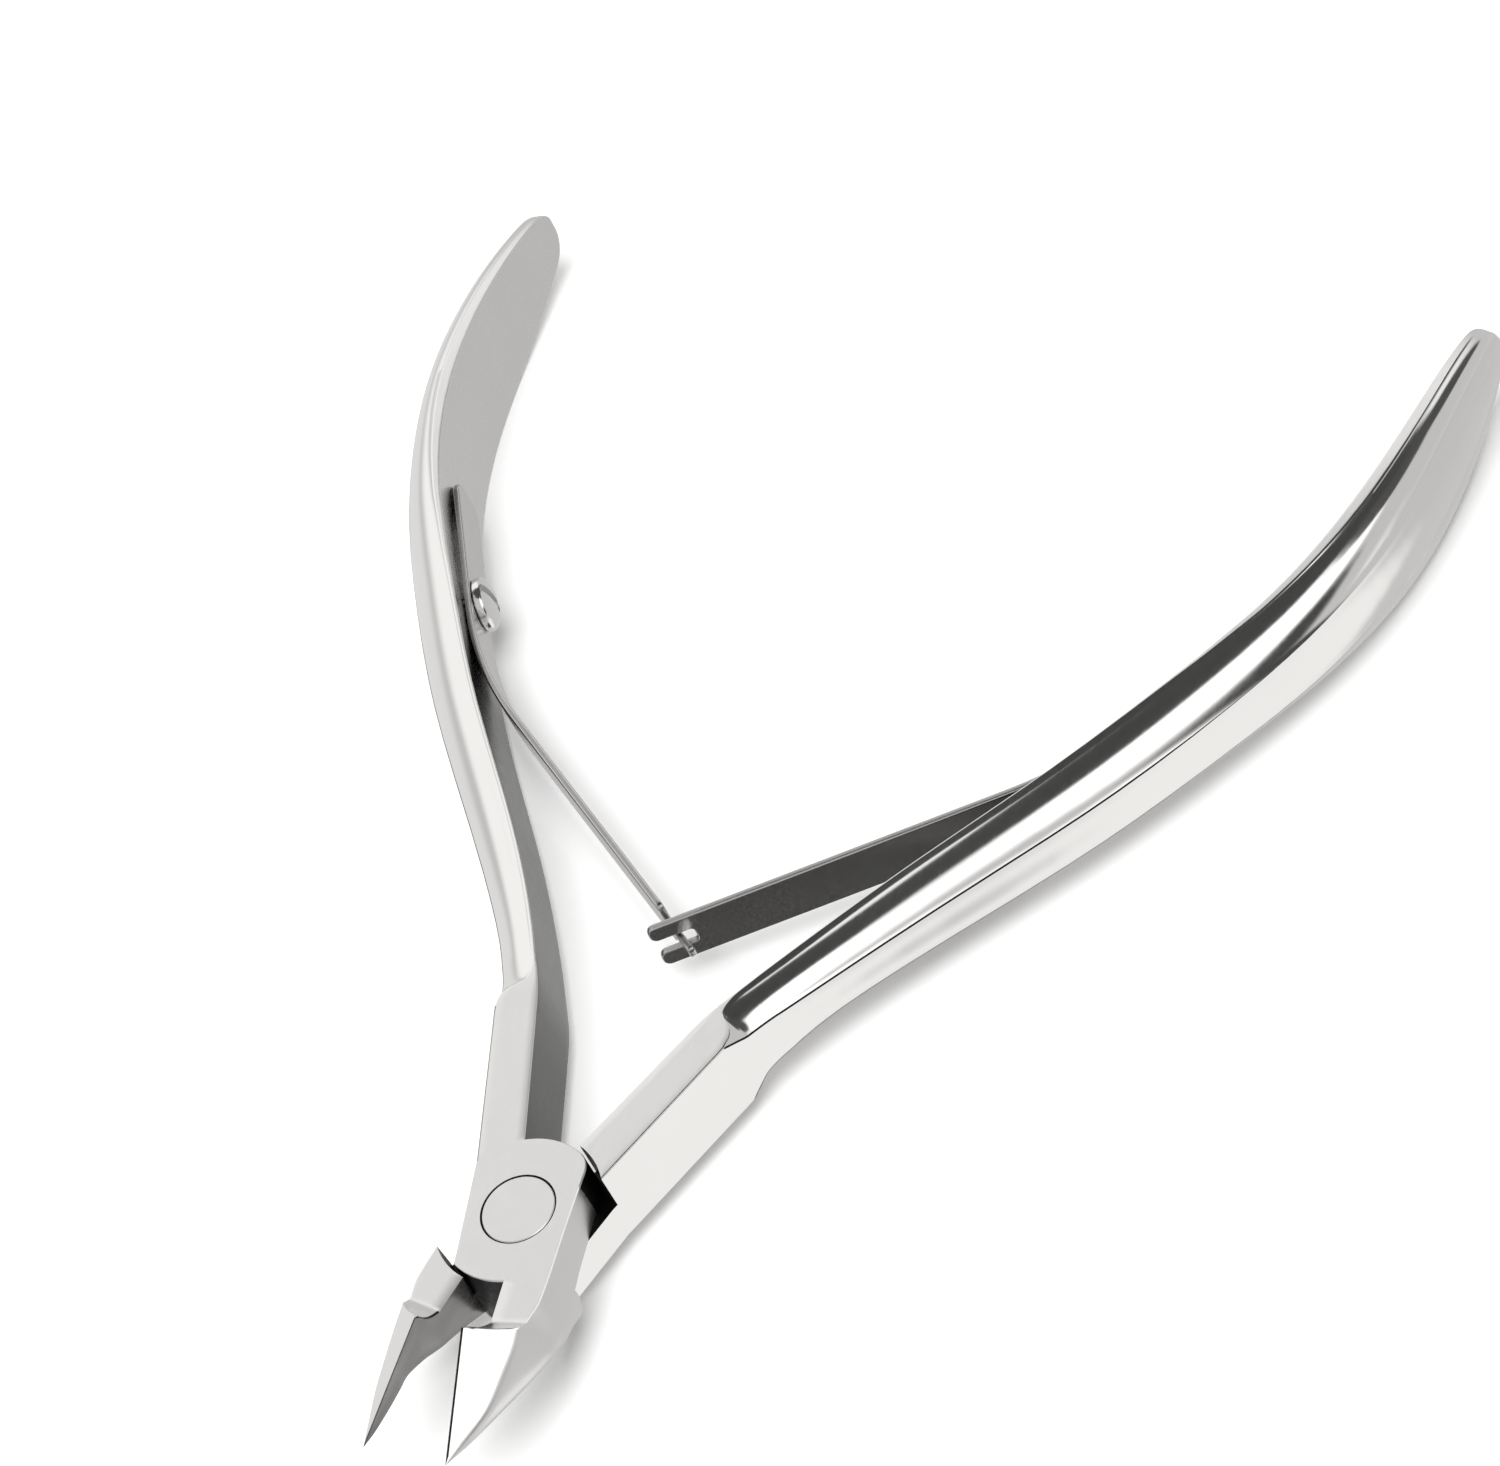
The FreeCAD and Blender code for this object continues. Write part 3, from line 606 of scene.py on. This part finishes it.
def half(node, side, upper, materials):
    """One half, a single forging. It is built with its plate on top, and the lower one's joint is turned
    over.
    """
    steel = new_object(node + "_steel", handle(node, side), materials)
    blade = new_object("jaw", jaw(), materials)
    joint = new_object("plate", plate(), materials)
    space = new_object("recess", recess(), materials)
    if not upper:
        flip = Matrix.Scale(-1, 4, Vector((0, 0, 1)))
        for part in (joint, space):
            part.data.transform(flip)
            part.data.flip_normals()
    combine(steel, blade, "UNION")
    combine(steel, space, "DIFFERENCE")
    combine(steel, joint, "UNION")
    combine(steel, new_object("seat", rivet_seat(), materials), "DIFFERENCE")
    mouth = -BORE_OVERRUN
    bore = turned(((0, mouth), (SCREW_BORE, mouth), (SCREW_BORE, SCREW_DEPTH), (0, SCREW_DEPTH)), BORE_STEPS)
    bore.transform(seat_pose() @ Matrix.Rotation(math.radians(90), 4, "Y"))
    combine(steel, new_object("bore", bore, materials), "DIFFERENCE")
    clean(steel)
    return steel


# ---------------------------------------------------------------- springs, screws and rivet

SEAT_REACH = 56.0
SEAT_INNER = 21.75
SEAT_ANGLE = math.radians(21.5)

LEAF_HALF_THICKNESS = 0.275
LEAF_STAND_OFF = 0.15
LEAF_HALF_WIDTH = 2.2
LEAF_TAIL = 11.6
LEAF_TAIL_ROUND = 1.2
LEAF_BEND_START = 1.5
LEAF_BEND_RADIUS = 30.275
LEAF_BEND_ANGLE = math.radians(23.2)
LEAF_STRAIGHT = 28.3
LEAF_TIP = LEAF_BEND_START + LEAF_BEND_RADIUS * LEAF_BEND_ANGLE + LEAF_STRAIGHT
LEAF_EDGE = 0.14
LEAF_STEP = 0.6
NOTCH_DEPTH = 3.2
NOTCH_HALF_WIDTH = 0.7
NOTCH_ROUND = 0.3
TINE_ROUND_SHARE = 0.4
TONGUE_LENGTH = 3.6
TONGUE_HALF_WIDTH = 0.52
TONGUE_ROUND_SHARE = 0.8
TONGUE_SHOULDER_ROUND = 0.5
# A reach from the leaf's flex joint towards its screw; flex() scales a direction by it, and nothing uses
# that.
FLEX_REACH = 6.2

BORE_STEPS = 32
BORE_OVERRUN = 0.2
HOLE_HALF_DEPTH = 2
SCREW_BORE = 1.05
SCREW_DEPTH = 2.8
SCREW_SHANK = 0.95
SHANK_CHAMFER = 0.2
SHANK_END_GAP = 0.2
HEAD_RADIUS = 2.15
HEAD_START = 0.75
HEAD_CHAMFER = 0.12
HEAD_TOP = 2.0
HEAD_CROWN = 0.75
SLOT_HALF_WIDTH = 0.35
SLOT_HALF_LENGTH = 3
SLOT_DEPTH = 0.55


def seat_pose():
    """Where a leaf sits on its handle: +Y up the handle, +X into it."""
    return Matrix.Translation((SEAT_INNER, SEAT_REACH, 0)) @ Matrix.Rotation(-SEAT_ANGLE, 4, "Z")


def soft_outline(corners):
    """An outline through corners, each (x, y, radius), with its corners rounded."""
    points = []
    count = len(corners)
    for i, (x, y, radius) in enumerate(corners):
        here = Vector((x, y))
        if radius == 0:
            points.append(here)
            continue
        back = (Vector(corners[i - 1][:2]) - here).normalized()
        ahead = (Vector(corners[(i + 1) % count][:2]) - here).normalized()
        centre = here + (back + ahead) * radius
        for turn in range(0, 91, 15):
            turn = math.radians(turn)
            points.append(centre - ahead * radius * math.cos(turn) - back * radius * math.sin(turn))
    return points


def leaf_outline(forked):
    """A leaf laid flat: X along it towards the joint, Y across it."""
    wide, tip, tail = LEAF_HALF_WIDTH, LEAF_TIP, -LEAF_TAIL
    corners = [(tail, wide, LEAF_TAIL_ROUND), (tail, -wide, LEAF_TAIL_ROUND)]
    if forked:
        root, gap = tip - NOTCH_DEPTH, NOTCH_HALF_WIDTH
        tine = (wide - gap) * TINE_ROUND_SHARE
        corners += [(tip, -wide, tine), (tip, -gap, tine), (root, -gap, NOTCH_ROUND)]
        corners += [(root, gap, NOTCH_ROUND), (tip, gap, tine), (tip, wide, tine)]
    else:
        root, tongue = tip - TONGUE_LENGTH, TONGUE_HALF_WIDTH
        point = tongue * TONGUE_ROUND_SHARE
        corners += [(root, -wide, TONGUE_SHOULDER_ROUND), (root, -tongue, 0), (tip, -tongue, point)]
        corners += [(tip, tongue, point), (root, tongue, 0), (root, wide, TONGUE_SHOULDER_ROUND)]
    return soft_outline(corners)


def bend_leaf(spot):
    """Takes a point of the flat leaf, with Z through its thickness, to its place in the seat's frame."""
    centre = LEAF_STAND_OFF + LEAF_HALF_THICKNESS
    beyond = spot.x - LEAF_BEND_START
    angle = min(max(beyond / LEAF_BEND_RADIUS, 0), LEAF_BEND_ANGLE)
    straight = max(beyond - LEAF_BEND_RADIUS * LEAF_BEND_ANGLE, 0) if beyond > 0 else beyond
    radius = LEAF_BEND_RADIUS - spot.z
    off = centre + LEAF_BEND_RADIUS - radius * math.cos(angle) + straight * math.sin(angle)
    along = LEAF_BEND_START + radius * math.sin(angle) + straight * math.cos(angle)
    return Vector((-off, -along, spot.y))


def leaf(name, forked, materials):
    """One leaf spring, drilled for its screw and bent off the handle."""
    thick = LEAF_HALF_THICKNESS
    levels = rounded_rim(-thick, -1, LEAF_EDGE)[::-1] + rounded_rim(thick, 1, LEAF_EDGE)
    piece = new_object(name, slab(leaf_outline(forked), levels, lambda spot: LEAF_WALL), materials)
    past = HOLE_HALF_DEPTH
    hole = turned(((0, -past), (SCREW_BORE, -past), (SCREW_BORE, past), (0, past)), BORE_STEPS)
    combine(piece, new_object("hole", hole, materials), "DIFFERENCE")
    mesh = bmesh.new()
    mesh.from_mesh(piece.data)
    for place in reach_steps(LEAF_BEND_START - LEAF_STEP, LEAF_TIP - NOTCH_DEPTH - LEAF_STEP, LEAF_STEP):
        everything = mesh.verts[:] + mesh.edges[:] + mesh.faces[:]
        bmesh.ops.bisect_plane(mesh, geom=everything, plane_co=(place, 0, 0), plane_no=(1, 0, 0))
    for vert in mesh.verts:
        vert.co = seat_pose() @ bend_leaf(vert.co)
    bmesh.ops.recalc_face_normals(mesh, faces=mesh.faces)
    mesh.to_mesh(piece.data)
    mesh.free()
    return piece


def spring_screw(name, materials):
    """A domed screw with one slot."""
    rim = HEAD_TOP - HEAD_CROWN
    bottom = SHANK_END_GAP - SCREW_DEPTH
    profile = [(0, bottom), (SCREW_SHANK - SHANK_CHAMFER, bottom), (SCREW_SHANK, bottom + SHANK_CHAMFER)]
    profile += [(SCREW_SHANK, HEAD_START), (HEAD_RADIUS - HEAD_CHAMFER, HEAD_START)]
    profile.append((HEAD_RADIUS, HEAD_START + HEAD_CHAMFER))
    for turn in range(0, 90, 10):
        angle = math.radians(turn)
        profile.append((HEAD_RADIUS * math.cos(angle), rim + HEAD_CROWN * math.sin(angle)))
    profile.append((0, HEAD_TOP))
    piece = new_object(name, turned(profile), materials)
    wide, long = SLOT_HALF_WIDTH, SLOT_HALF_LENGTH
    mouth = [(-wide, -long), (wide, -long), (wide, long), (-wide, long)]
    slot = slab(mouth, [(0, HEAD_TOP - SLOT_DEPTH), (0, HEAD_TOP + OVERRUN)])
    slot.transform(Matrix.Rotation(math.radians(90), 4, "Z"))
    combine(piece, new_object("slot", slot, materials), "DIFFERENCE")
    piece.data.transform(seat_pose() @ Matrix.Rotation(math.radians(-90), 4, "Y"))
    return piece


def rivet(materials):
    """The pivot rivet, ground almost flush with both faces of the joint."""
    top = JOINT_HALF + RIVET_PROUD
    above = [(RIVET_SHANK, top - RIVET_CONE), (RIVET_RADIUS, top - RIM_ROUND)]
    above.append((RIVET_RADIUS - RIM_ROUND, top))
    above += [(RIVET_RADIUS * share, top) for share in RIVET_RINGS] + [(0, top)]
    return new_object("pivot_rivet_head", turned(mirrored(above) + above, RIVET_STEPS), materials)


def rest_pose(side):
    """From a closed half's frame to its rest pose in the row frame."""
    pose = Matrix.Scale(MM, 4) @ Matrix.Translation((0, 0, JOINT_HALF))
    return pose @ Matrix.Rotation(-side * OPENING, 4, "Z") @ Matrix.Diagonal((side, 1, 1, 1))


def finish_piece(piece, side, node):
    """Puts a piece in its rest pose, shades it, and hides the CAD part that it stands for."""
    piece.data.transform(rest_pose(side))
    if side < 0:
        piece.data.flip_normals()
    for polygon in piece.data.polygons:
        polygon.use_smooth = True
    piece.data.set_sharp_from_angle(angle=math.radians(SHARP_ANGLE))
    even = piece.modifiers.new("even_shading", "WEIGHTED_NORMAL")
    even.keep_sharp = True
    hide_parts(node)
    return piece


def flex(piece, joint_name, screw_node):
    """Bakes a leaf's place into its mesh. It works out a reach from the flex joint towards the screw, which
    nothing uses.
    """
    joint = JOINTS[joint_name]
    centre = Vector(joint["pos_m"])
    low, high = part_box(screw_node)
    along = (low + high) / 2 - centre
    along.z = 0
    along = along.normalized() * FLEX_REACH * MM
    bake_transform(piece)


# ---------------------------------------------------------------- materials

# The noise's usual range, its detail, the scale of the slow clouds in the tone, and the lines' depth.
NOISE_RANGE = (0.3, 0.7)
LINE_DETAIL = 2.0
CLOUD_DETAIL = 3.0
CLOUD_SCALE = 0.12
LINE_DEPTH = 0.01


def steel(name, light, dark, roughness, spread, streak, grain, bump):
    """Bare steel: its tone wanders a little, and fine grinding lines run along the piece.

    Roughness is the mean and spread its swing. Streak and grain are the lines' scales along and across,
    per millimetre.
    """
    material = bpy.data.materials.new(name)
    material.use_nodes = True
    nodes, links = material.node_tree.nodes, material.node_tree.links
    shader = nodes["Principled BSDF"]
    shader.inputs["Metallic"].default_value = 1.0
    place = nodes.new("ShaderNodeTexCoord")
    lines = nodes.new("ShaderNodeMapping")
    lines.inputs["Scale"].default_value = (grain / MM, streak / MM, grain / MM)
    links.new(place.outputs["Object"], lines.inputs["Vector"])
    fine = nodes.new("ShaderNodeTexNoise")
    fine.inputs["Scale"].default_value = 1.0
    fine.inputs["Detail"].default_value = LINE_DETAIL
    links.new(lines.outputs["Vector"], fine.inputs["Vector"])
    cloud = nodes.new("ShaderNodeTexNoise")
    cloud.inputs["Scale"].default_value = CLOUD_SCALE / MM
    cloud.inputs["Detail"].default_value = CLOUD_DETAIL
    links.new(place.outputs["Object"], cloud.inputs["Vector"])

    tone = nodes.new("ShaderNodeMix")
    tone.data_type = "RGBA"
    tone.inputs["A"].default_value = (*dark, 1)
    tone.inputs["B"].default_value = (*light, 1)
    links.new(cloud.outputs["Fac"], tone.inputs["Factor"])
    links.new(tone.outputs["Result"], shader.inputs["Base Color"])

    blur = nodes.new("ShaderNodeMapRange")
    blur.inputs["From Min"].default_value, blur.inputs["From Max"].default_value = NOISE_RANGE
    blur.inputs["To Min"].default_value = roughness - spread
    blur.inputs["To Max"].default_value = roughness + spread
    links.new(fine.outputs["Fac"], blur.inputs["Value"])
    links.new(blur.outputs["Result"], shader.inputs["Roughness"])

    relief = nodes.new("ShaderNodeBump")
    relief.inputs["Strength"].default_value = bump
    relief.inputs["Distance"].default_value = LINE_DEPTH * MM
    links.new(fine.outputs["Fac"], relief.inputs["Height"])
    links.new(relief.outputs["Normal"], shader.inputs["Normal"])
    return material


# Tone of a handle's inner face along Y, in metres: painted shade, dark where it stands in for dark
# reflections near the joint and along the first half of the grip, bright from about 54 mm on.
INNER_PAINTED_SHADE = (
    (0.004, 0.08), (0.012, 0.15), (0.022, 0.26), (0.032, 0.16), (0.043, 0.07), (0.049, 0.34), (0.054, 0.78),
)


def graded_steel(name, *finish):
    """Steel whose tone along the handle follows the table above: painted shade that stands in for dark
    reflections.
    """
    material = steel(name, *finish)
    nodes, links = material.node_tree.nodes, material.node_tree.links
    shader = nodes["Principled BSDF"]
    mottle = shader.inputs["Base Color"].links[0].from_socket
    place = nodes.new("ShaderNodeTexCoord")
    split = nodes.new("ShaderNodeSeparateXYZ")
    links.new(place.outputs["Object"], split.inputs["Vector"])
    start, end = INNER_PAINTED_SHADE[0][0], INNER_PAINTED_SHADE[-1][0]
    along = nodes.new("ShaderNodeMapRange")
    along.inputs["From Min"].default_value = start
    along.inputs["From Max"].default_value = end
    links.new(split.outputs["Y"], along.inputs["Value"])
    ramp = nodes.new("ShaderNodeValToRGB")
    ramp.color_ramp.interpolation = "EASE"
    stops = ramp.color_ramp.elements
    while len(stops) < len(INNER_PAINTED_SHADE):
        stops.new(0.5)
    for stop, (spot, tone) in zip(stops, INNER_PAINTED_SHADE):
        stop.position = (spot - start) / (end - start)
        stop.color = (tone, tone, tone, 1)
    links.new(along.outputs["Result"], ramp.inputs["Fac"])
    graded = nodes.new("ShaderNodeMix")
    graded.data_type = "RGBA"
    graded.blend_type = "MULTIPLY"
    graded.inputs["Factor"].default_value = 1.0
    links.new(mottle, graded.inputs["A"])
    links.new(ramp.outputs["Color"], graded.inputs["B"])
    links.new(graded.outputs["Result"], shader.inputs["Base Color"])
    return material


FLOOR_ROUGHNESS = 0.9
FLOOR_GRAIN = 400
FLOOR_TONES = (0.90, 0.92)


def floor_material():
    """Matt paper, with a faint grain in its tone."""
    material = bpy.data.materials.new("paper_floor")
    material.use_nodes = True
    nodes, links = material.node_tree.nodes, material.node_tree.links
    shader = nodes["Principled BSDF"]
    shader.inputs["Roughness"].default_value = FLOOR_ROUGHNESS
    shader.inputs["Specular IOR Level"].default_value = 0.0
    grain = nodes.new("ShaderNodeTexNoise")
    grain.inputs["Scale"].default_value = FLOOR_GRAIN
    shades = nodes.new("ShaderNodeMix")
    shades.data_type = "RGBA"
    for socket, tone in zip("AB", FLOOR_TONES):
        shades.inputs[socket].default_value = (tone, tone, tone, 1)
    links.new(grain.outputs["Fac"], shades.inputs["Factor"])
    links.new(shades.outputs["Result"], shader.inputs["Base Color"])
    return material


# ---------------------------------------------------------------- studio

BASE_LIGHT = 0.6
LIGHT_COLOUR = (1.0, 0.995, 0.985, 1)
# Soft panels and dark flags of the studio: direction, brightness, half width and soft edge in degrees.
PANELS = (
    ((-0.50, 0.46, 0.74), 1.02, 24, 16),
    ((0.62, -0.12, 0.77), 1.40, 18, 10),
    ((0.63, -0.15, -0.74), 0.97, 18, 16),
    ((-0.95, 0.24, -0.19), 0.80, 14, 16),
    ((0.20, 0.62, -0.74), 0.62, 20, 12),
    ((-0.12, 0.32, 0.94), 0.06, 15, 7),
    ((0.08, 0.10, 0.99), 0.06, 13, 6),
    ((0.07, 0.41, 0.91), 0.06, 16, 6),
    ((0.47, 0.37, 0.80), 0.08, 13, 6),
    ((0.24, 0.75, 0.61), 0.08, 14, 6),
    ((0.93, -0.22, 0.22), 0.06, 7, 12),
    ((0.28, -0.62, -0.74), 0.06, 10, 14),
)


def studio():
    """The world: an even pale room with soft panels and dark flags round it."""
    world = bpy.data.worlds.new("studio")
    bpy.context.scene.world = world
    world.use_nodes = True
    nodes, links = world.node_tree.nodes, world.node_tree.links
    where = nodes.new("ShaderNodeTexCoord")
    level = None
    for direction, brightness, width, soft in PANELS:
        facing = nodes.new("ShaderNodeVectorMath")
        facing.operation = "DOT_PRODUCT"
        facing.inputs[1].default_value = Vector(direction).normalized()
        links.new(where.outputs["Generated"], facing.inputs[0])
        share = nodes.new("ShaderNodeMapRange")
        share.interpolation_type = "SMOOTHSTEP"
        share.inputs["From Min"].default_value = math.cos(math.radians(width + soft))
        share.inputs["From Max"].default_value = math.cos(math.radians(width))
        links.new(facing.outputs["Value"], share.inputs["Value"])
        mixed = nodes.new("ShaderNodeMix")
        mixed.data_type = "FLOAT"
        mixed.inputs["A"].default_value = BASE_LIGHT
        mixed.inputs["B"].default_value = brightness
        links.new(share.outputs["Result"], mixed.inputs["Factor"])
        if level:
            links.new(level, mixed.inputs["A"])
        level = mixed.outputs["Result"]
    # The floor would stop light that is aimed from the panels below it, so none is aimed.
    world.cycles.sampling_method = "NONE"
    background = nodes["Background"]
    links.new(level, background.inputs["Strength"])
    background.inputs["Color"].default_value = LIGHT_COLOUR


def softbox(name, place, target, size, power):
    """A large soft light that the steel doesn't mirror."""
    light = bpy.data.lights.new(name, "AREA")
    light.shape = "DISK"
    light.size = size
    light.energy = power
    lamp = bpy.data.objects.new(name, light)
    bpy.context.scene.collection.objects.link(lamp)
    lamp.location = place
    lamp.rotation_euler = (Vector(target) - Vector(place)).to_track_quat("-Z", "Y").to_euler()
    lamp.visible_glossy = False


FLOOR_HALF_WIDTH = 3.0


def floor(level):
    """A pale floor just under the part. The steel doesn't mirror it."""
    mesh = bmesh.new()
    wide = FLOOR_HALF_WIDTH
    corners = ((-wide, -wide), (wide, -wide), (wide, wide), (-wide, wide))
    mesh.faces.new([mesh.verts.new((x, y, level)) for x, y in corners])
    ground = new_object("floor", mesh, [floor_material()])
    ground.visible_glossy = False
    ground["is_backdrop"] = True


# The camera's sensor and lens, where it stands, and which way its right, its top and its back face.
SENSOR_WIDTH = 36
FOCAL_LENGTH = 180.3
FARTHEST_SEEN = 10
EYE_PLACE = (276.0, -211.1, 414.3)
EYE_AXES = ((0.856, 0.39341, -0.3354), (-0.136, 0.79729, 0.58808), (0.49877, -0.45778, 0.73598))


def camera():
    """The photograph's view: from above and to the right of the jaws, far off with a long lens."""
    data = bpy.data.cameras.new("camera")
    data.sensor_fit = "HORIZONTAL"
    data.sensor_width = SENSOR_WIDTH
    data.lens = FOCAL_LENGTH
    data.clip_end = FARTHEST_SEEN
    eye = bpy.data.objects.new("camera", data)
    bpy.context.scene.collection.objects.link(eye)
    turn = Matrix(EYE_AXES).transposed().to_4x4()
    eye.matrix_world = Matrix.Translation(Vector(EYE_PLACE) * MM) @ turn
    bpy.context.scene.camera = eye


# ---------------------------------------------------------------- the whole part

# Each steel's light and dark tone, roughness and its swing, lines along and across, and bump.
satin = steel("satin_steel", (0.87, 0.865, 0.855), (0.82, 0.815, 0.805), 0.31, 0.03, 0.6, 7.0, 0.06)
polished = steel("polished_steel", (0.88, 0.875, 0.865), (0.85, 0.845, 0.835), 0.13, 0.025, 0.5, 6.0, 0.04)
# The inner face's steel, with painted shade along the handle.
inner_steel = graded_steel("inner_steel", (1.0, 0.99, 0.98), (0.94, 0.93, 0.92), 0.27, 0.02, 0.15, 1.6, 0.02)
# Painted shade: dark grey for the jaw's hollow and the root's edges, near black for recesses, gaps and edge
# lines.
shade_grey = steel("shade_grey_steel", (0.36, 0.355, 0.35), (0.22, 0.215, 0.21), 0.28, 0.05, 0.8, 5.0, 0.15)
shade_black = steel("shade_black_steel", (0.04, 0.04, 0.04), (0.015, 0.015, 0.015), 0.45, 0.08, 2.0, 2.0, 0.3)
spring_edge = steel("spring_edge", (0.46, 0.455, 0.45), (0.30, 0.295, 0.29), 0.25, 0.05, 0.8, 4.0, 0.1)
spring = steel("spring_steel", (0.72, 0.71, 0.70), (0.58, 0.57, 0.56), 0.22, 0.05, 0.5, 8.0, 0.12)
bright = steel("screw_steel", (0.88, 0.88, 0.87), (0.80, 0.80, 0.79), 0.12, 0.04, 3.0, 3.0, 0.05)
rivet_steel = steel("rivet_steel", (0.87, 0.865, 0.855), (0.81, 0.805, 0.795), 0.30, 0.02, 0.6, 0.6, 0.02)
# In the order of the slots above: satin, polished, the inner face's steel with its painted shade, and the
# dark grey and near black painted shade.
half_steels = (satin, polished, inner_steel, shade_grey, shade_black)

for node, side, upper, body in (("lower_half", 1, False, "lower"), ("upper_half", -1, True, "upper")):
    piece = half(node, side, upper, half_steels)
    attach(finish_piece(piece, side, node), body)

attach(finish_piece(rivet((rivet_steel,)), 1, "pivot_rivet"), "lower")

for kind, side, body in (("fork", 1, "lower"), ("tongue", -1, "upper")):
    node = kind + "_spring"
    piece = leaf(node + "_leaf", kind == "fork", (spring, spring_edge))
    finish_piece(piece, side, node)
    flex(piece, kind + "_flex", node + "_screw")
    piece = spring_screw(node + "_screw_head", (bright,))
    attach(finish_piece(piece, side, node + "_screw"), body)

floor(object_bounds()[0].z)
studio()
softbox("key", place=(0.1, -0.15, 0.9), target=(0, 0.03, 0), size=0.8, power=9.0)
camera()
bpy.context.scene.view_settings.view_transform = "Standard"
